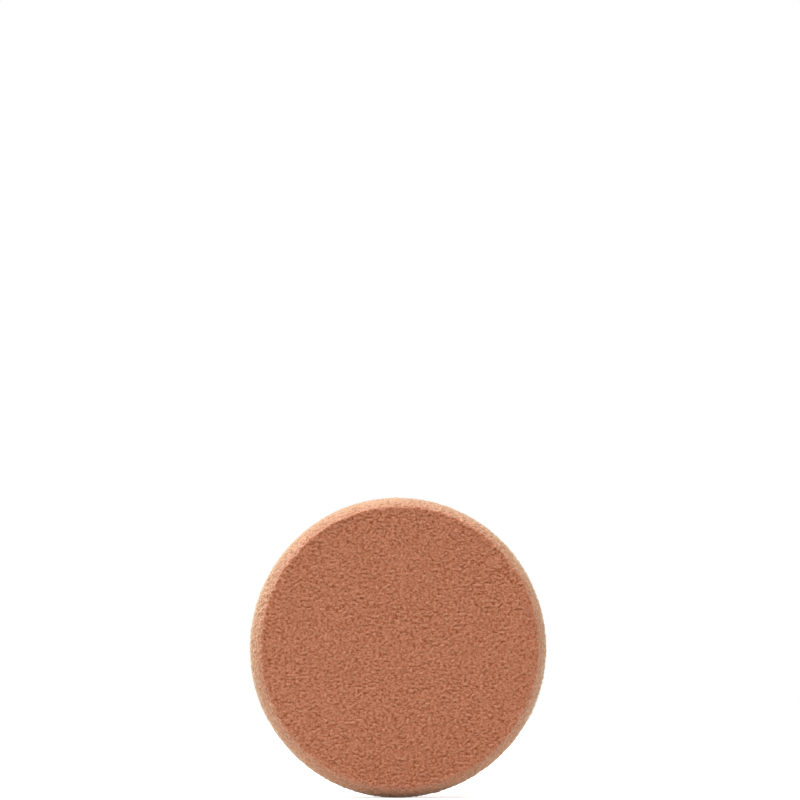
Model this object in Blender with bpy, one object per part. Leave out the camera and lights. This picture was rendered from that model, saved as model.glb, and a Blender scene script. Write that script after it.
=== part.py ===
"""A round makeup sponge: one disc of fine open-cell foam with both rims ground to a bevel.

The disc stands on its edge, as it does when it is set out to be looked at. +Z is up, the disc's
own axis runs along Y, and the origin is at the middle of the flat that it stands on.
"""

import math

import bmesh
import bpy
from mathutils import Matrix, Vector

# Driving sizes of the foam disc, in metres
DISC_DIAMETER = 0.058
DISC_THICKNESS = 0.010
BEVEL_WIDTH = 0.0019
SIDE_WALL_WIDTH = 0.0036
SHOULDER_ROUNDING = 0.0003
TOE_ROUNDING = 0.0008
FOOT_DEPTH = 0.0005

# Fineness of the turned surface
SEGMENTS = 80
SHOULDER_STEPS = 2
TOE_STEPS = 4
SHARP_EDGE_ANGLE = math.radians(30)

# Points nearer than this are one point where the turned surface closes on itself
SEAM_TOLERANCE = 0.00001

# Finish of the foam: a warm terracotta, quite dull
FOAM_COLOUR = (0.446, 0.168, 0.094, 1.0)
FOAM_ROUGHNESS = 0.95
FOAM_METALLIC = 0.0


def clear_scene() -> None:
    """Remove every object that the scene holds."""
    for item in list(bpy.data.objects):
        bpy.data.objects.remove(item, do_unlink=True)


def foam_material() -> bpy.types.Material:
    """Make the dull terracotta foam."""
    material = bpy.data.materials.new("terracotta_foam")
    material.use_nodes = True
    shader = material.node_tree.nodes["Principled BSDF"]
    shader.inputs["Base Color"].default_value = FOAM_COLOUR
    shader.inputs["Roughness"].default_value = FOAM_ROUGHNESS
    shader.inputs["Metallic"].default_value = FOAM_METALLIC
    return material


def rounded_corner(corner: Vector, before: Vector, after: Vector, reach: float, steps: int) -> list[Vector]:
    """Trace a rounding that reaches as far along each of two directions that leave a corner."""
    start, end = corner + before * reach, corner + after * reach
    points = []
    for step in range(steps + 1):
        t = step / steps
        points.append(start * (1 - t) ** 2 + corner * (2 * t * (1 - t)) + end * t**2)
    return points


def ground_edge_profile() -> list[Vector]:
    """Trace one ground edge as (radius, height), from the flat face out to the side wall."""
    radius = DISC_DIAMETER / 2
    shoulder = Vector((radius - BEVEL_WIDTH, DISC_THICKNESS / 2))
    toe = Vector((radius, SIDE_WALL_WIDTH / 2))
    slope = (toe - shoulder).normalized()
    over_face, down_wall = Vector((-1, 0)), Vector((0, -1))
    return [
        *rounded_corner(shoulder, over_face, slope, SHOULDER_ROUNDING, SHOULDER_STEPS),
        *rounded_corner(toe, -slope, down_wall, TOE_ROUNDING, TOE_STEPS),
    ]


def disc_profile() -> list[Vector]:
    """Trace the whole edge from the front face, over the side wall, to the back face."""
    front = ground_edge_profile()
    back = [Vector((radius, -height)) for radius, height in reversed(front)]
    return front + back


def turn_about_y(mesh: bmesh.types.BMesh, profile: list[Vector]) -> None:
    """Turn a (radius, height) profile once round the Y axis, with its heights towards -Y."""
    points = [mesh.verts.new((radius, -height, 0)) for radius, height in profile]
    edges = [mesh.edges.new(pair) for pair in zip(points, points[1:])]
    bmesh.ops.spin(
        mesh,
        geom=points + edges,
        cent=(0, 0, 0),
        axis=(0, 1, 0),
        angle=2 * math.pi,
        steps=SEGMENTS,
        use_merge=True,
    )
    bmesh.ops.remove_doubles(mesh, verts=mesh.verts[:], dist=SEAM_TOLERANCE)


def close_rims(mesh: bmesh.types.BMesh) -> None:
    """Fill every open ring with one flat face."""
    open_edges = [edge for edge in mesh.edges if edge.is_boundary]
    bmesh.ops.holes_fill(mesh, edges=open_edges, sides=0)


def press_foot_flat(mesh: bmesh.types.BMesh) -> None:
    """Cut away the lowest part of the edge, so that the disc has a flat to stand on."""
    foot_height = FOOT_DEPTH - DISC_DIAMETER / 2
    everything = mesh.verts[:] + mesh.edges[:] + mesh.faces[:]
    bmesh.ops.bisect_plane(
        mesh,
        geom=everything,
        plane_co=(0, 0, foot_height),
        plane_no=(0, 0, -1),
        clear_outer=True,
    )
    close_rims(mesh)


def make_foam_disc() -> bpy.types.Object:
    """Build the foam disc, standing on its foot at the origin."""
    mesh = bmesh.new()
    turn_about_y(mesh, disc_profile())
    close_rims(mesh)
    press_foot_flat(mesh)
    bmesh.ops.recalc_face_normals(mesh, faces=mesh.faces[:])

    data = bpy.data.meshes.new("foam_disc")
    mesh.to_mesh(data)
    mesh.free()
    data.shade_smooth()
    data.set_sharp_from_angle(angle=SHARP_EDGE_ANGLE)
    data.materials.append(foam_material())

    disc = bpy.data.objects.new("foam_disc", data)
    disc.matrix_world = Matrix.Translation((0, 0, DISC_DIAMETER / 2 - FOOT_DEPTH))
    bpy.context.scene.collection.objects.link(disc)
    return disc


clear_scene()
make_foam_disc()
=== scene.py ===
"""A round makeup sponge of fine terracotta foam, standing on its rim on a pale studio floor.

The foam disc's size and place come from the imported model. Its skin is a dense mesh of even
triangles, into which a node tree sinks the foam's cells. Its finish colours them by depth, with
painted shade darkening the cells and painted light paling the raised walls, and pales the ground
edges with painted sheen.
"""

import logging
import math
from dataclasses import dataclass, field
from enum import Enum

import bpy
import numpy as np
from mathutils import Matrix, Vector


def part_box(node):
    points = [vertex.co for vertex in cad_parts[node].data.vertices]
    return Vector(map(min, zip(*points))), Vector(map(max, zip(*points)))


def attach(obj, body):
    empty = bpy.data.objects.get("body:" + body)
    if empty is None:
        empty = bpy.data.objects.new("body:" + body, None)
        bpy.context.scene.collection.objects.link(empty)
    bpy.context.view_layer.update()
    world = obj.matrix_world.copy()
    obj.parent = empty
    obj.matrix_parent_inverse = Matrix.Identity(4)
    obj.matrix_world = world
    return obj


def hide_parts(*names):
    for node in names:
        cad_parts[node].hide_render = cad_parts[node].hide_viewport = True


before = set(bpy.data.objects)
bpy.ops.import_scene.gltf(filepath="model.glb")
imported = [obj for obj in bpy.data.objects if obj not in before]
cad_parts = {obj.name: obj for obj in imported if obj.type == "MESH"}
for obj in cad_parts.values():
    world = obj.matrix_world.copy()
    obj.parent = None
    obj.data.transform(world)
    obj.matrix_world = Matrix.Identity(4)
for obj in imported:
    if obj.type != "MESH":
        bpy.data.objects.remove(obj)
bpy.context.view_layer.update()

LOG = logging.getLogger("makeup_sponge")

MM = 0.001

# Attributes of the foam's points: how far they stand up, and how far down the ground edge they lie
LIFT = "lift"
GROUND = "ground"

# Each ring of points on a face has one point more in each of these sectors than the ring inside it
SECTORS = 6

# How far apart the nodes of a tree are drawn
NODE_STEP = 200

Socket = bpy.types.NodeSocket
Source = Socket | float | tuple[float, ...]
Span = tuple[float, float]
Colour = tuple[float, float, float, float]


class Ray(Enum):
    """The kinds of ray that look at the background, by their Light Path output."""

    CAMERA = "Is Camera Ray"
    GLOSSY = "Is Glossy Ray"
    TRANSMISSION = "Is Transmission Ray"


@dataclass
class NodeBench:
    """Adds nodes to one tree and wires them together."""

    tree: bpy.types.NodeTree

    def node(self, kind: str, **settings: object) -> bpy.types.Node:
        """Add a node and set its properties.

        Args:
            kind: Blender's name of the node's class.
            settings: The node's properties by name.

        Returns:
            The new node.
        """
        node = self.tree.nodes.new(kind)
        node.location = (NODE_STEP * len(self.tree.nodes), 0)
        for name, value in settings.items():
            setattr(node, name, value)
        return node

    def feed(self, socket: Socket, source: Source) -> None:
        """Wire a socket to an output, or set its value.

        Args:
            socket: The input to feed.
            source: An output socket, or the value itself.
        """
        if isinstance(source, Socket):
            self.tree.links.new(source, socket)
        else:
            socket.default_value = source

    def math(self, operation: str, *terms: Source, clamp: bool = False) -> Socket:
        """Add a Math node.

        Args:
            operation: The Math node's operation.
            terms: Its inputs in order.
            clamp: Whether the result is kept between 0 and 1.

        Returns:
            Its value.
        """
        node = self.node("ShaderNodeMath", operation=operation, use_clamp=clamp)
        for socket, term in zip(node.inputs, terms):
            self.feed(socket, term)
        return node.outputs[0]

    def join(self, operation: str, one: Source, other: Source) -> Socket:
        """Add a Vector Math node.

        Args:
            operation: "ADD" or "MULTIPLY", axis by axis.
            one: Its first vector.
            other: Its second vector.

        Returns:
            Its vector.
        """
        node = self.node("ShaderNodeVectorMath", operation=operation)
        self.feed(node.inputs[0], one)
        self.feed(node.inputs[1], other)
        return node.outputs["Vector"]

    def scale(self, vector: Source, factor: Source) -> Socket:
        """Return a vector times a number."""
        node = self.node("ShaderNodeVectorMath", operation="SCALE")
        self.feed(node.inputs[0], vector)
        self.feed(node.inputs["Scale"], factor)
        return node.outputs["Vector"]

    def vector(self, x: Source = 0.0, y: Source = 0.0, z: Source = 0.0) -> Socket:
        """Return a vector made of three numbers."""
        node = self.node("ShaderNodeCombineXYZ")
        for socket, source in zip(node.inputs, (x, y, z)):
            self.feed(socket, source)
        return node.outputs[0]

    def noise(self, place: Source, scale: Source, detail: float, output: str = "Fac") -> Socket:
        """Add a noise pattern.

        Args:
            place: The coordinates that it reads.
            scale: How many of its lumps there are to a metre.
            detail: How many finer layers it has.
            output: The output to return, "Fac" or "Color".

        Returns:
            The pattern, about 0.5 on the average.
        """
        node = self.node("ShaderNodeTexNoise")
        self.feed(node.inputs["Vector"], place)
        self.feed(node.inputs["Scale"], scale)
        node.inputs["Detail"].default_value = detail
        return node.outputs[output]

    def map_range(self, value: Source, span: Span, onto: Span) -> Socket:
        """Return a value carried from one span to another, and held inside it."""
        node = self.node("ShaderNodeMapRange")
        self.feed(node.inputs["Value"], value)
        for name, number in zip(("From Min", "From Max", "To Min", "To Max"), span + onto):
            node.inputs[name].default_value = number
        return node.outputs["Result"]


@dataclass
class RimProfile:
    """The half section of the rim, from the front face over the side wall to the back face.

    Attributes:
        radius: The disc's outer radius.
        half_thickness: From the middle plane to the lip.
        bevel_width: How far the ground edge runs in over a face.
        side_wall: The width of the straight band between the two ground edges.
        shoulder: How far the rounding between lip and ground edge reaches along each.
        toe: How far the rounding between ground edge and side wall reaches along each.
        lip: How far the cut edge of a face stands above the face.
        lip_width: How far in over the face the lip rises.
    """

    radius: float
    half_thickness: float
    bevel_width: float = 2.0 * MM
    side_wall: float = 3.6 * MM
    shoulder: float = 0.28 * MM
    toe: float = 0.8 * MM
    lip: float = 0.14 * MM
    lip_width: float = 1.1 * MM

    @property
    def face_radius(self) -> float:
        """Where the flat face ends."""
        return self.radius - self.bevel_width - self.lip_width

    @property
    def face_depth(self) -> float:
        """How far each flat face lies from the middle plane."""
        return self.half_thickness - self.lip

    def ground_share(self, heights: np.ndarray) -> np.ndarray:
        """Return how far down the ground edge each height lies: 0 on a face, 1 on the side wall."""
        down = self.half_thickness - np.abs(heights)
        return np.clip(down / (self.half_thickness - self.side_wall / 2), 0, 1)

    def _arc(self, start: np.ndarray, corner: np.ndarray, end: np.ndarray, steps: int) -> np.ndarray:
        """Return points on the arc that a corner pulls between two ends."""
        t = np.linspace(0, 1, steps)[:, None]
        return start * (1 - t) ** 2 + corner * 2 * t * (1 - t) + end * t**2

    def half_outline(self, steps: int = 200) -> np.ndarray:
        """Trace one ground edge finely, from the flat face to the middle of the side wall.

        Args:
            steps: Points on each arc.

        Returns:
            (radius, height) points, height being counted from the middle plane.
        """
        face_end = np.array([self.face_radius, self.face_depth])
        face_edge = np.array([self.radius - self.bevel_width, self.half_thickness])
        wall_edge = np.array([self.radius, self.side_wall / 2])
        down = (wall_edge - face_edge) / np.linalg.norm(wall_edge - face_edge)
        inward, along_wall = np.array([1.0, 0.0]), np.array([0.0, -1.0])
        lip_foot = face_end + inward * self.lip_width / 2
        rise = self._arc(face_end, lip_foot, face_edge - inward * self.shoulder, steps)
        turn = self._arc(rise[-1], face_edge, face_edge + down * self.shoulder, steps)
        toe_start, toe_end = wall_edge - down * self.toe, wall_edge + along_wall * self.toe
        toe = self._arc(toe_start, wall_edge, toe_end, steps)
        return np.vstack([rise[:-1], turn, toe, [[self.radius, 0.0]]])

    def outline(self, spacing: float) -> np.ndarray:
        """Trace the whole rim with points at an even distance.

        Args:
            spacing: The wanted distance between points.

        Returns:
            (radius, height) points from the front face's edge to the back face's edge.
        """
        half = self.half_outline()
        line = np.vstack([half, half[-2::-1] * (1, -1)])
        along = np.concatenate([[0], np.cumsum(np.linalg.norm(np.diff(line, axis=0), axis=1))])
        places = np.linspace(0, along[-1], max(2, round(along[-1] / spacing)) + 1)
        return np.stack([np.interp(places, along, line[:, axis]) for axis in range(2)], axis=1)


@dataclass
class DiscSkin:
    """The disc's skin as rings of points, more of them in each ring from a face's middle outwards.

    Attributes:
        rim: The rim's section.
        spacing: The distance between neighbouring points.
    """

    rim: RimProfile
    spacing: float
    radii: np.ndarray = field(init=False)
    heights: np.ndarray = field(init=False)
    counts: np.ndarray = field(init=False)
    turns: np.ndarray = field(init=False)
    face_rings: int = field(init=False)

    def __post_init__(self) -> None:
        """Lay out the rings from the front face's middle to the back face's middle."""
        self.face_rings = round(self.rim.face_radius / self.spacing)
        face = np.arange(self.face_rings) * self.rim.face_radius / self.face_rings
        count = np.maximum(SECTORS * np.arange(self.face_rings), 1)
        edge = self.rim.outline(self.spacing)
        edge_count = SECTORS * self.face_rings
        half = self.rim.face_depth
        self.radii = np.concatenate([face, edge[:, 0], face[::-1]])
        self.heights = np.concatenate([np.full(len(face), half), edge[:, 1], np.full(len(face), -half)])
        self.counts = np.concatenate([count, np.full(len(edge), edge_count), count[::-1]])
        edge_turn = 0.5 * np.arange(len(edge)) / edge_count
        self.turns = np.concatenate([np.zeros(len(face)), edge_turn, np.full(len(face), edge_turn[-1])])

    @property
    def starts(self) -> np.ndarray:
        """The number of each ring's first point."""
        return np.concatenate([[0], np.cumsum(self.counts)[:-1]])

    def ring_of_point(self) -> np.ndarray:
        """Return each point's ring."""
        return np.repeat(np.arange(len(self.counts)), self.counts)

    def angles(self) -> np.ndarray:
        """Return each point's angle round the disc, from +X towards +Z, in radians."""
        ring = self.ring_of_point()
        place = np.arange(len(ring)) - self.starts[ring]
        return 2 * math.pi * (place / self.counts[ring] + self.turns[ring])

    def points(self) -> np.ndarray:
        """Return every point of the plain disc, with its axis along Y and its front towards -Y."""
        ring, angle = self.ring_of_point(), self.angles()
        radius = self.radii[ring]
        return np.stack([radius * np.cos(angle), -self.heights[ring], radius * np.sin(angle)], axis=1)

    def _between(self, inner: int, outer: int) -> np.ndarray:
        """Return the triangles between a ring and one with as many points, or one more in each sector.

        Args:
            inner: The ring with fewer points.
            outer: The ring with more points.

        Returns:
            Point numbers, three to a triangle, turning alike.
        """
        n_in, n_out = int(self.counts[inner]), int(self.counts[outer])
        first_in, first_out = self.starts[inner], self.starts[outer]
        if n_in == n_out:
            here = np.arange(n_in)
            after = (here + 1) % n_in
            lower = np.stack([first_in + here, first_out + here, first_in + after], axis=1)
            upper = np.stack([first_in + after, first_out + here, first_out + after], axis=1)
            return np.vstack([lower, upper])
        many = n_out // SECTORS
        few = many - 1
        sector, step = np.repeat(np.arange(SECTORS), many), np.tile(np.arange(many), SECTORS)
        a = first_in + (sector * few + step) % n_in
        b = first_out + sector * many + step
        c = first_out + (sector * many + step + 1) % n_out
        based_outside = np.stack([a, b, c], axis=1)
        sector, step = np.repeat(np.arange(SECTORS), few), np.tile(np.arange(few), SECTORS)
        a = first_in + sector * few + step
        b = first_out + sector * many + step + 1
        c = first_in + (sector * few + step + 1) % n_in
        return np.vstack([based_outside, np.stack([a, b, c], axis=1)])

    def triangles(self) -> np.ndarray:
        """Return every triangle, its front outwards."""
        parts = []
        last = len(self.counts) - 1
        for ring in range(last):
            if self.counts[ring] <= self.counts[ring + 1]:
                parts.append(self._between(ring, ring + 1))
            else:
                parts.append(self._between(ring + 1, ring)[:, ::-1])
        return np.vstack(parts)

    def flat_map(self, triangles: np.ndarray) -> np.ndarray:
        """Lay the skin out flat and true to size, a round patch for each half and strips for the wall.

        Args:
            triangles: The skin's triangles.

        Returns:
            A place in the unit square for each corner of each triangle.
        """
        return FlatLayout(self.rim).places(self, triangles)


@dataclass
class FlatLayout:
    """Where the skin's patches lie in the unit square.

    Attributes:
        rim: The rim's section, whose length sets the scale.
        margin: The bare border round each patch, as a share of the square.
        strips: How many lengths the side wall is cut into.
        strip_gap: The bare border above each strip, as a share of the square.
        strip_reach_share: How far in from the square's right the strips start, as a share of a
            patch's diameter.
    """

    rim: RimProfile
    margin: float = 0.006
    strips: int = 6
    strip_gap: float = 0.024
    strip_reach_share: float = 0.62

    def places(self, skin: DiscSkin, triangles: np.ndarray) -> np.ndarray:
        """Give each corner of each triangle its place.

        Args:
            skin: The rings of points.
            triangles: Point numbers, three to a triangle.

        Returns:
            (u, v) for each corner, in the triangles' order.
        """
        ring = skin.ring_of_point()
        angle = skin.angles()
        ends = np.stack([skin.radii, skin.heights], axis=1)
        along = np.concatenate([[0], np.cumsum(np.linalg.norm(np.diff(ends, axis=0), axis=1))])
        total = along[-1]
        wall = self.rim.side_wall
        reach = (total - wall) / 2
        diameter = 2 - math.sqrt(2) - 2 * self.margin
        scale = diameter / (2 * reach)

        corner_ring = ring[triangles]
        middle = along[corner_ring].mean(axis=1)
        places = np.empty((len(triangles), 3, 2))
        centre = self.margin + diameter / 2
        for is_front, (u, v) in ((True, (centre, centre)), (False, (1 - centre, 1 - centre))):
            chosen = middle < reach if is_front else middle > total - reach
            distance = along[ring] if is_front else total - along[ring]
            turn = angle if is_front else -angle
            spokes = np.stack([np.cos(turn), np.sin(turn)], axis=1)
            flat = (u, v) + scale * distance[:, None] * spokes
            places[chosen] = flat[triangles[chosen]]

        chosen = (middle >= reach) & (middle <= total - reach)
        share = angle[triangles[chosen]] / (2 * math.pi) % 1
        share = np.where(share.max(axis=1, keepdims=True) - share > 0.5, share + 1, share)
        strip = np.floor(share.mean(axis=1, keepdims=True) * self.strips) % self.strips
        within = share - strip / self.strips
        within = np.where(within > 0.5, within - 1, within)
        length = 2 * math.pi * self.rim.radius * scale
        lift = (strip + 1) * (wall * scale + self.strip_gap)
        places[chosen, :, 0] = 1 - diameter * self.strip_reach_share + within * length
        places[chosen, :, 1] = lift - (along[corner_ring[chosen]] - reach) * scale
        return places


@dataclass
class FoamCells:
    """The foam's torn surface, as a node tree that sinks it into a dense mesh.

    Attributes:
        face_depth: How far each face lies from the middle plane, which is made a whole number of
            hollows.
        hollow_size: The size of the hollows and ridges that tearing leaves.
        hollow_depth: From the highest ridge to the deepest hollow that the pattern could give. It
            seldom comes near either.
        cell_spacing: The distance between the cells that are cut open.
        cell_radius_share: An open cell's radius, as a share of that distance.
        cell_depth: How deep an open cell goes.
        warp_size: Over what distance the cells are drawn out of round.
        warp: How far they are drawn out of round.
        stretch: How much longer they are from left to right than up and down.
        ground_relief_share: How deep the hollows and cells are at the foot of a ground edge, as a
            share of their depth in the faces.
        ground_start: How far down a ground edge its own finish starts, as a share of the edge.
        seed: Where the pattern is read.
    """

    face_depth: float
    hollow_size: float = 0.43 * MM
    hollow_depth: float = 0.71 * MM
    cell_spacing: float = 0.34 * MM
    cell_radius_share: float = 0.6
    cell_depth: float = 0.13 * MM
    warp_size: float = 0.5 * MM
    warp: float = 0.15 * MM
    stretch: float = 1.36
    ground_relief_share: float = 0.6
    ground_start: float = 0.06
    seed: float = 3.7

    def _sizes(self) -> dict[str, float]:
        """Return the tree's number inputs by name."""
        return {
            "Hollow Size": self.hollow_size,
            "Hollow Depth": self.hollow_depth,
            "Cell Spacing": self.cell_spacing,
            "Cell Radius Share": self.cell_radius_share,
            "Cell Depth": self.cell_depth,
            "Warp Size": self.warp_size,
            "Warp": self.warp,
            "Stretch": self.stretch,
            "Face Depth": self.face_depth,
            "Ground Relief Share": self.ground_relief_share,
            "Ground Start": self.ground_start,
            "Seed": self.seed,
        }

    def _place(self, bench: NodeBench, position: Socket, given: bpy.types.NodeOutputs) -> Socket:
        """Find where the pattern is read, warped in the faces' plane, drawn out and seeded.

        Args:
            bench: The tree's bench.
            position: The points' own places.
            given: The tree's inputs.

        Returns:
            The place for each point, with a whole number of hollows from the middle plane to a face.
        """
        warp_scale = bench.math("DIVIDE", 1.0, given["Warp Size"])
        warp = bench.noise(position, warp_scale, detail=0.0, output="Color")
        warp = bench.scale(bench.join("ADD", warp, (-0.5, -0.5, -0.5)), given["Warp"])
        warped = bench.join("ADD", position, bench.join("MULTIPLY", warp, (1, 0, 1)))
        layers = bench.math("DIVIDE", given["Face Depth"], given["Hollow Size"])
        whole_layers = bench.math("DIVIDE", bench.math("ROUND", layers), layers)
        shrink = bench.vector(bench.math("DIVIDE", 1.0, given["Stretch"]), whole_layers, 1.0)
        return bench.join("ADD", bench.join("MULTIPLY", warped, shrink), bench.vector(given["Seed"]))

    def _cells(self, bench: NodeBench, place: Socket, given: bpy.types.NodeOutputs) -> Socket:
        """Cut the cells open.

        Args:
            bench: The tree's bench.
            place: Where the pattern is read.
            given: The tree's inputs.

        Returns:
            How deep the skin lies in a cell at each point.
        """
        pattern = bench.node("ShaderNodeTexVoronoi", voronoi_dimensions="3D", feature="F1")
        bench.feed(pattern.inputs["Vector"], place)
        bench.feed(pattern.inputs["Scale"], bench.math("DIVIDE", 1.0, given["Cell Spacing"]))
        reach = bench.math("DIVIDE", pattern.outputs["Distance"], given["Cell Radius Share"])
        bowl = bench.math("SUBTRACT", 1.0, bench.math("POWER", reach, 2.0), clamp=True)
        return bench.math("MULTIPLY", bowl, given["Cell Depth"])

    def tree(self) -> bpy.types.NodeTree:
        """Build the node tree.

        Returns:
            The tree, with its sizes and the foam's materials as inputs.
        """
        tree = bpy.data.node_groups.new("foam_cells", "GeometryNodeTree")
        face = tree.interface
        face.new_socket(name="Skin", in_out="INPUT", socket_type="NodeSocketGeometry")
        for name in self._sizes():
            face.new_socket(name=name, in_out="INPUT", socket_type="NodeSocketFloat")
        for name in ("Foam", "Ground Foam"):
            face.new_socket(name=name, in_out="INPUT", socket_type="NodeSocketMaterial")
        face.new_socket(name="Skin", in_out="OUTPUT", socket_type="NodeSocketGeometry")

        bench = NodeBench(tree)
        given = bench.node("NodeGroupInput").outputs
        position = bench.node("GeometryNodeInputPosition").outputs[0]
        normal = bench.node("GeometryNodeInputNormal").outputs[0]

        place = self._place(bench, position, given)
        torn = bench.noise(place, bench.math("DIVIDE", 1.0, given["Hollow Size"]), detail=0.0)
        hollows = bench.math("MULTIPLY", bench.math("SUBTRACT", torn, 0.5), given["Hollow Depth"])
        lift = bench.math("SUBTRACT", hollows, self._cells(bench, place, given))
        ground = bench.node("GeometryNodeInputNamedAttribute", data_type="FLOAT")
        ground.inputs["Name"].default_value = GROUND
        most_loss = bench.math("SUBTRACT", 1.0, given["Ground Relief Share"])
        loss = bench.math("MULTIPLY", ground.outputs[0], most_loss)
        lift = bench.math("MULTIPLY", lift, bench.math("SUBTRACT", 1.0, loss))

        sink = bench.node("GeometryNodeSetPosition")
        bench.feed(sink.inputs["Geometry"], given["Skin"])
        bench.feed(sink.inputs["Offset"], bench.scale(normal, lift))
        keep = bench.node("GeometryNodeStoreNamedAttribute", data_type="FLOAT", domain="POINT")
        bench.feed(keep.inputs["Geometry"], sink.outputs[0])
        keep.inputs["Name"].default_value = LIFT
        whole = bench.math("ADD", given["Hollow Depth"], given["Cell Depth"])
        bench.feed(keep.inputs["Value"], bench.math("DIVIDE", lift, whole))
        real = bench.node("GeometryNodeRealizeInstances")
        bench.feed(real.inputs[0], keep.outputs[0])
        dress = bench.node("GeometryNodeSetMaterial")
        bench.feed(dress.inputs["Geometry"], real.outputs[0])
        bench.feed(dress.inputs["Material"], given["Foam"])

        trim = bench.node("GeometryNodeSetMaterial")
        bench.feed(trim.inputs["Geometry"], dress.outputs[0])
        on_ground = bench.math("GREATER_THAN", ground.outputs[0], given["Ground Start"])
        bench.feed(trim.inputs["Selection"], on_ground)
        bench.feed(trim.inputs["Material"], given["Ground Foam"])
        bench.feed(bench.node("NodeGroupOutput").inputs["Skin"], trim.outputs[0])
        return tree

    def apply(self, piece: bpy.types.Object, foam: bpy.types.Material, ground: bpy.types.Material) -> None:
        """Sink the cells into a piece for good.

        Args:
            piece: The dense skin.
            foam: The faces' material.
            ground: The ground edges' and side wall's material.
        """
        modifier = piece.modifiers.new("foam_cells", "NODES")
        modifier.node_group = self.tree()
        values = {**self._sizes(), "Foam": foam, "Ground Foam": ground}
        for item in modifier.node_group.interface.items_tree:
            if item.in_out == "INPUT" and item.name in values:
                modifier[item.identifier] = values[item.name]
        graph = bpy.context.evaluated_depsgraph_get()
        made = bpy.data.meshes.new_from_object(piece.evaluated_get(graph), depsgraph=graph)
        piece.modifiers.remove(modifier)
        piece.data = made


@dataclass(frozen=True)
class FoamFinish:
    """Dull terracotta foam, coloured darker in the cells as painted shade and paler on the raised walls
    as painted light, with painted sheen paling the ground edges.

    Attributes:
        name: The material's name.
        wall: The colour of the cell walls that stand up, paler as painted light.
        body: The colour at middle depth.
        cell: The colour in the cells, darker and more saturated as painted shade.
        middle_lift: The skin's middle depth, as the cells' tree gives it.
        lift_range: How far above and below it the ramp from painted shade to painted light reaches.
        grain_size: The size of the finest grain.
        grain_share: How much the finest grain adds to the depth that colours the foam.
        grain_stretch: How much longer the grain is from left to right than up and down.
        mottle_size: The size of the faint clouds in the colour.
        mottle: How far the clouds lighten and darken it.
        mottle_reach: The values of the clouds' pattern where they are darkest and lightest.
        bump_size: The size of the torn walls' own roughness.
        bump_depth: How deep that roughness goes.
        roughness: How dull the foam is.
        specular: How much of it shines at all.
        sheen: How much the fine fuzz catches light that skims it.
        sheen_spread: How widely it does.
        gloss_tint: The colour of the light that it throws back unsoaked.
        painted_sheen: A pale cream mixed in down the ground edges, as painted sheen of light skimming
            them.
        painted_sheen_share: How much of that painted sheen shows at the foot of a ground edge.
    """

    name: str = "terracotta_foam"
    # Painted light on the raised walls, the foam's colour at middle depth, painted shade in the cells
    wall: Colour = (0.579, 0.223, 0.130, 1.0)
    body: Colour = (0.459, 0.140, 0.070, 1.0)
    cell: Colour = (0.285, 0.040, 0.004, 1.0)
    middle_lift: float = -0.04
    lift_range: float = 0.28
    grain_size: float = 0.26 * MM
    grain_share: float = 0.5
    grain_stretch: float = 1.3
    mottle_size: float = 9 * MM
    mottle: float = 0.005
    mottle_reach: Span = (0.25, 0.75)
    bump_size: float = 0.3 * MM
    bump_depth: float = 0.06 * MM
    roughness: float = 0.5
    specular: float = 0.4
    sheen: float = 1.0
    sheen_spread: float = 0.45
    gloss_tint: Colour = (0.90, 1.0, 0.70, 1.0)
    # Painted sheen: a pale cream mixed in down the ground edges in place of light skimming them
    painted_sheen: Colour = (0.66, 0.58, 0.38, 1.0)
    painted_sheen_share: float = 0.27

    def material(self) -> bpy.types.Material:
        """Build the foam's material."""
        material = bpy.data.materials.new(self.name)
        material.use_nodes = True
        bench = NodeBench(material.node_tree)
        shader = material.node_tree.nodes["Principled BSDF"]
        place = bench.node("ShaderNodeTexCoord").outputs["Object"]

        # Colour by depth: the paler raised walls are painted light and the darker, more saturated cells
        # painted shade, on top of the relief's own shading
        lift = bench.node("ShaderNodeAttribute", attribute_name=LIFT).outputs["Fac"]
        drawn = bench.node("ShaderNodeMapping")
        bench.feed(drawn.inputs["Vector"], place)
        drawn.inputs["Scale"].default_value = (1 / self.grain_stretch, 1, 1)
        grain = bench.noise(drawn.outputs["Vector"], 1 / self.grain_size, detail=1.0)
        grain = bench.map_range(grain, (0, 1), (-self.grain_share, self.grain_share))
        depths = (self.middle_lift - self.lift_range, self.middle_lift + self.lift_range)
        depth_shade_ramp = bench.node("ShaderNodeValToRGB")
        stops = depth_shade_ramp.color_ramp.elements
        stops[0].position, stops[0].color = 0.0, self.cell
        stops[1].position, stops[1].color = 1.0, self.wall
        stops.new(0.5).color = self.body
        bench.feed(depth_shade_ramp.inputs[0], bench.map_range(bench.math("ADD", lift, grain), depths, (0, 1)))

        clouds = bench.noise(place, 1 / self.mottle_size, detail=3.0)
        tone = bench.node("ShaderNodeHueSaturation")
        bench.feed(tone.inputs["Color"], depth_shade_ramp.outputs["Color"])
        tones = (1 - self.mottle, 1 + self.mottle)
        bench.feed(tone.inputs["Value"], bench.map_range(clouds, self.mottle_reach, tones))
        # Paint sheen down the ground edges: mix the pale cream in by how far down the edge a point lies
        ground = bench.node("ShaderNodeAttribute", attribute_name=GROUND).outputs["Fac"]
        sheen_paint = bench.node("ShaderNodeMixRGB")
        bench.feed(sheen_paint.inputs["Fac"], bench.math("MULTIPLY", ground, self.painted_sheen_share))
        bench.feed(sheen_paint.inputs["Color1"], tone.outputs["Color"])
        sheen_paint.inputs["Color2"].default_value = self.painted_sheen
        bench.feed(shader.inputs["Base Color"], sheen_paint.outputs["Color"])

        bump = bench.node("ShaderNodeBump")
        bump.inputs["Strength"].default_value = 1.0
        bump.inputs["Distance"].default_value = self.bump_depth
        bench.feed(bump.inputs["Height"], bench.noise(place, 1 / self.bump_size, detail=1.0))
        bench.feed(shader.inputs["Normal"], bump.outputs[0])

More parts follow.
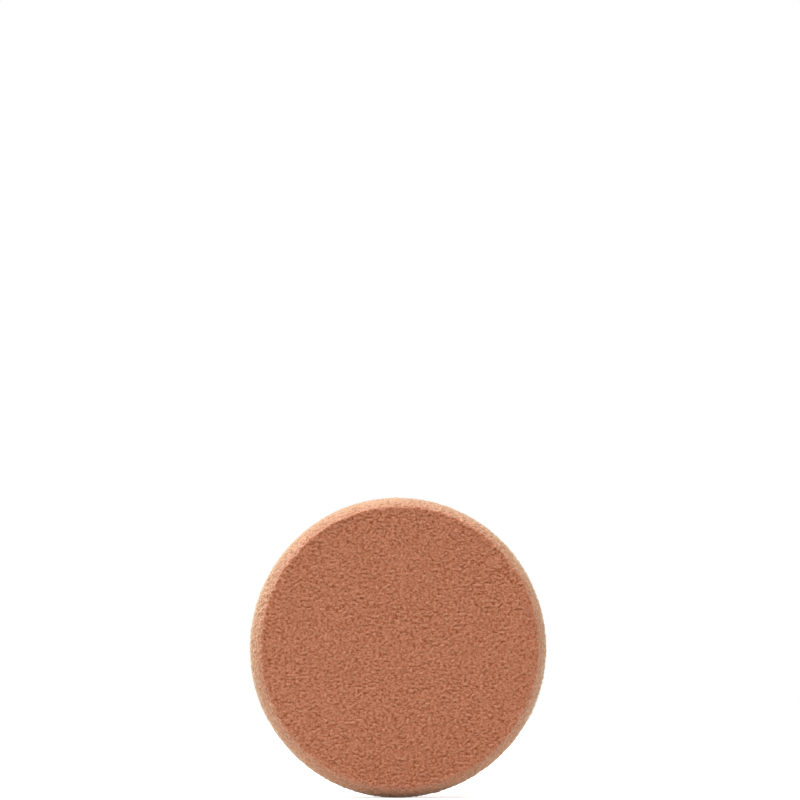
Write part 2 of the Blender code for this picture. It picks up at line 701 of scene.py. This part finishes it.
        shader.inputs["Roughness"].default_value = self.roughness
        shader.inputs["Specular IOR Level"].default_value = self.specular
        shader.inputs["Sheen Weight"].default_value = self.sheen
        shader.inputs["Sheen Roughness"].default_value = self.sheen_spread
        shader.inputs["Sheen Tint"].default_value = self.gloss_tint
        shader.inputs["Specular Tint"].default_value = self.gloss_tint
        return material


@dataclass(frozen=True)
class GroundFoamFinish(FoamFinish):
    """The same foam where it is ground: a little glossier, and with less fuzz."""

    name: str = "ground_terracotta_foam"
    roughness: float = 0.48
    specular: float = 0.55
    sheen: float = 0.6


@dataclass(frozen=True)
class Wave:
    """One wave of the outline.

    Attributes:
        count: How many crests it has round the disc.
        phase: Where they lie, in radians.
        share: Its height, as a share of the wobble.
    """

    count: int
    phase: float
    share: float


@dataclass
class FoamDisc:
    """The foam disc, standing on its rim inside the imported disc's box.

    Attributes:
        low: The box's lowest corner.
        high: The box's highest corner.
        spacing: The distance between the skin's points.
        narrow_share: How much narrower than tall the disc is.
        face_shift: How far the ground edges' faces sit off the middle, to the right and up.
        wobble: How far the outline strays from round.
        waves: The waves that make up the wobble.
        sag: How far the faces stray from flat.
        sag_lengths: The lengths of the faces' two waves, across and up.
        sag_phases: Where their crests lie, in radians.
        give: How far the foam's rim is pressed in where it stands.
    """

    low: Vector
    high: Vector
    spacing: float = 0.15 * MM
    narrow_share: float = 0.009
    face_shift: Span = (0.10 * MM, 0.14 * MM)
    wobble: float = 0.05 * MM
    waves: tuple[Wave, ...] = (Wave(2, 0.7, 0.5), Wave(3, 2.1, 0.7), Wave(5, 4.0, 0.4))
    sag: float = 0.04 * MM
    sag_lengths: Span = (31 * MM, 37 * MM)
    sag_phases: Span = (1.0, 2.2)
    give: float = 0.03 * MM
    skin: DiscSkin = field(init=False)

    def __post_init__(self) -> None:
        """Size the skin to the box."""
        radius = (self.high.z - self.low.z + self.give) / 2
        rim = RimProfile(radius=radius, half_thickness=(self.high.y - self.low.y) / 2)
        self.skin = DiscSkin(rim, self.spacing)

    def _shaped(self) -> np.ndarray:
        """Return the skin's points with a cut disc's slight unevenness, standing in place."""
        points = self.skin.points()
        rim = self.skin.rim
        angle = self.skin.angles()
        radius = np.hypot(points[:, 0], points[:, 2])
        outer = (radius / rim.radius) ** 2
        waves = sum(wave.share * np.sin(wave.count * angle + wave.phase) for wave in self.waves)
        swell = 1 + self.wobble * waves * outer / rim.radius
        points[:, 0] *= swell * (1 - self.narrow_share)
        points[:, 2] *= swell
        inward = 1 - rim.ground_share(points[:, 1])
        # All of it on a face, none on the side wall, and no crease between
        weight = inward**2 * (3 - 2 * inward)
        sag = self.sag * weight
        for axis, shift, length, phase in zip((0, 2), self.face_shift, self.sag_lengths, self.sag_phases):
            points[:, axis] += shift * weight
            sag = sag * np.sin(2 * math.pi * points[:, axis] / length + phase)
        points[:, 1] += sag
        points[:, 2] += self.low.z + rim.radius - self.give
        return points

    def build(self, foam: bpy.types.Material, ground_foam: bpy.types.Material) -> bpy.types.Object:
        """Make the disc.

        Args:
            foam: The faces' material.
            ground_foam: The ground edges' and side wall's material.

        Returns:
            The finished piece, riding on the root body.
        """
        triangles = self.skin.triangles()
        data = bpy.data.meshes.new("foam_disc_skin")
        points = self._shaped()
        data.vertices.add(len(points))
        data.vertices.foreach_set("co", points.astype(np.float32).ravel())
        data.loops.add(3 * len(triangles))
        data.loops.foreach_set("vertex_index", triangles.astype(np.int32).ravel())
        data.polygons.add(len(triangles))
        data.polygons.foreach_set("loop_start", np.arange(0, 3 * len(triangles), 3, dtype=np.int32))
        layer = data.uv_layers.new(name="OFBake")
        layer.uv.foreach_set("vector", self.skin.flat_map(triangles).astype(np.float32).ravel())
        ground = data.attributes.new(GROUND, "FLOAT", "POINT")
        heights = self.skin.heights[self.skin.ring_of_point()]
        ground.data.foreach_set("value", self.skin.rim.ground_share(heights).astype(np.float32))
        data.update(calc_edges=True)
        data.shade_smooth()
        piece = bpy.data.objects.new("foam_sponge", data)
        bpy.context.scene.collection.objects.link(piece)
        FoamCells(self.skin.rim.face_depth).apply(piece, foam, ground_foam)
        self._rest_on_floor(piece)
        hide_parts("foam_disc")
        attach(piece, "root")
        return piece

    def _rest_on_floor(self, piece: bpy.types.Object) -> None:
        """Press flat whatever would reach below the floor."""
        points = np.empty(3 * len(piece.data.vertices), np.float32)
        piece.data.vertices.foreach_get("co", points)
        points = points.reshape(-1, 3)
        points[:, 2] = np.maximum(points[:, 2], self.low.z)
        piece.data.vertices.foreach_set("co", points.ravel())
        piece.data.update()


@dataclass(frozen=True)
class Lamp:
    """One soft lamp, aimed at the sponge.

    Attributes:
        name: What it does.
        place: Where it stands, from the sponge's middle.
        size: The sides of its face.
        power: Its power in watts.
    """

    name: str
    place: tuple[float, float, float]
    size: Span
    power: float

    def light(self, target: Vector) -> bpy.types.Object:
        """Set the lamp up.

        Args:
            target: The point that it faces.

        Returns:
            The lamp's object.
        """
        data = bpy.data.lights.new(self.name, "AREA")
        data.shape = "RECTANGLE"
        data.size, data.size_y = self.size
        data.energy = self.power
        lamp = bpy.data.objects.new(self.name, data)
        lamp.location = target + Vector(self.place)
        lamp.rotation_euler = (-Vector(self.place)).to_track_quat("-Z", "Y").to_euler()
        bpy.context.scene.collection.objects.link(lamp)
        return lamp


@dataclass
class Studio:
    """The pale floor, the white surroundings, the lamps and the camera.

    Attributes:
        target: The middle of the sponge.
        floor_radius: How far the floor reaches.
        floor_sides: How many straight sides its rim has.
        floor_tone: How pale the floor is.
        near_glow: How brightly the floor looks lit beside the sponge.
        glow_reach: From where to where, counted from the sponge, that brightness grows to white.
        distance: From the camera to the sponge.
        azimuth: How far the camera stands to the left of the sponge's axis, in degrees.
        frame_width: How much of the sponge's plane the picture spans.
        picture_side: The picture's side in pixels.
        middle_px: Where the sponge's middle lies in the picture.
        sensor_width: The camera's sensor, in millimetres.
        clip_start: How near the camera sees.
        lamps: The lamps.
    """

    target: Vector
    floor_radius: float = 0.6
    floor_sides: int = 96
    floor_tone: float = 0.8
    near_glow: float = 0.7
    glow_reach: Span = (30 * MM, 120 * MM)
    distance: float = 0.60
    azimuth: float = 3.0
    frame_width: float = 154.8 * MM
    picture_side: float = 800.0
    middle_px: Span = (398.05, 647.2)
    sensor_width: float = 36.0
    clip_start: float = 10 * MM
    lamps: tuple[Lamp, ...] = (
        Lamp("top_softbox", (-0.20, -0.10, 1.80), (1.20, 0.60), 15.0),
        Lamp("top_left_softbox", (-1.00, -0.12, 1.50), (0.90, 0.60), 8.0),
        Lamp("top_right_softbox", (1.00, -0.12, 1.50), (0.90, 0.60), 9.0),
        Lamp("top_back_softbox", (-0.20, 0.55, 1.72), (1.20, 0.60), 10.5),
        Lamp("left_back_softbox", (-1.45, 0.70, 0.85), (0.90, 0.60), 13.0),
        Lamp("front_softbox", (-0.30, -0.78, 1.62), (0.90, 0.90), 18.5),
    )

    def _sees_background(self, bench: NodeBench) -> Socket:
        """Return 1 for a ray that looks at the background, and 0 for one that lights the sponge."""
        path = bench.node("ShaderNodeLightPath")
        found = path.outputs[Ray.CAMERA.value]
        for ray in (Ray.GLOSSY, Ray.TRANSMISSION):
            found = bench.math("MAXIMUM", found, path.outputs[ray.value])
        return found

    def world(self) -> None:
        """Surround the scene with a white that is seen and reflected, but gives no light."""
        world = bpy.data.worlds.new("white_surroundings")
        bpy.context.scene.world = world
        world.use_nodes = True
        bench = NodeBench(world.node_tree)
        backdrop = world.node_tree.nodes["Background"]
        backdrop.inputs["Color"].default_value = (1, 1, 1, 1)
        bench.feed(backdrop.inputs["Strength"], self._sees_background(bench))

    def floor(self) -> bpy.types.Object:
        """Lay the pale floor, which looks white away from the sponge and keeps its shadow.

        Returns:
            The floor's object.
        """
        material = bpy.data.materials.new("pale_floor")
        material.use_nodes = True
        nodes = material.node_tree.nodes
        nodes.remove(nodes["Principled BSDF"])
        bench = NodeBench(material.node_tree)
        matt = bench.node("ShaderNodeBsdfDiffuse")
        matt.inputs["Color"].default_value = (self.floor_tone,) * 3 + (1,)
        place = bench.node("ShaderNodeTexCoord").outputs["Object"]
        away = bench.node("ShaderNodeVectorMath", operation="LENGTH")
        bench.feed(away.inputs[0], place)
        glow = bench.map_range(away.outputs["Value"], self.glow_reach, (self.near_glow, 1.0))
        lit = bench.node("ShaderNodeEmission")
        bench.feed(lit.inputs["Strength"], bench.math("MULTIPLY", self._sees_background(bench), glow))
        both = bench.node("ShaderNodeAddShader")
        bench.feed(both.inputs[0], matt.outputs[0])
        bench.feed(both.inputs[1], lit.outputs[0])
        bench.feed(nodes["Material Output"].inputs["Surface"], both.outputs[0])
        turns = [2 * math.pi * side / self.floor_sides for side in range(self.floor_sides)]
        ring = [
            (self.floor_radius * math.cos(turn), self.floor_radius * math.sin(turn), 0)
            for turn in turns
        ]
        data = bpy.data.meshes.new("floor")
        data.from_pydata(ring, [], [list(range(self.floor_sides))])
        data.materials.append(material)
        floor = bpy.data.objects.new("floor", data)
        bpy.context.scene.collection.objects.link(floor)
        return floor

    def camera(self) -> bpy.types.Object:
        """Stand the camera level with the sponge's middle, tipped up so that the sponge lies low in view.

        Returns:
            The camera's object.
        """
        data = bpy.data.cameras.new("camera")
        data.sensor_width = self.sensor_width
        data.lens = self.sensor_width * self.distance / self.frame_width
        data.clip_start = self.clip_start
        turn = math.radians(self.azimuth)
        place = self.target + self.distance * Vector((-math.sin(turn), -math.cos(turn), 0))
        half = self.picture_side / 2
        slope = self.frame_width / 2 / self.distance
        pitch = math.atan(slope * (self.middle_px[1] - half) / half)
        yaw = math.atan(slope * (self.middle_px[0] - half) / half * math.cos(pitch))
        camera = bpy.data.objects.new("camera", data)
        camera.location = place
        camera.rotation_euler = (math.pi / 2 + pitch, 0, -turn + yaw)
        bpy.context.scene.collection.objects.link(camera)
        bpy.context.scene.camera = camera
        return camera

    def build(self) -> None:
        """Set up the whole studio."""
        self.world()
        self.floor()
        for lamp in self.lamps:
            lamp.light(self.target)
        self.camera()
        bpy.context.scene.view_settings.view_transform = "Standard"


def main() -> None:
    """Build the sponge and its studio."""
    logging.basicConfig(level=logging.INFO, format="%(name)s: %(message)s")
    low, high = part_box("foam_disc")
    disc = FoamDisc(low, high)
    piece = disc.build(FoamFinish().material(), GroundFoamFinish().material())
    LOG.info("%s: %d triangles", piece.name, len(piece.data.polygons))
    Studio(target=(low + high) / 2).build()


if __name__ == "__main__":
    main()
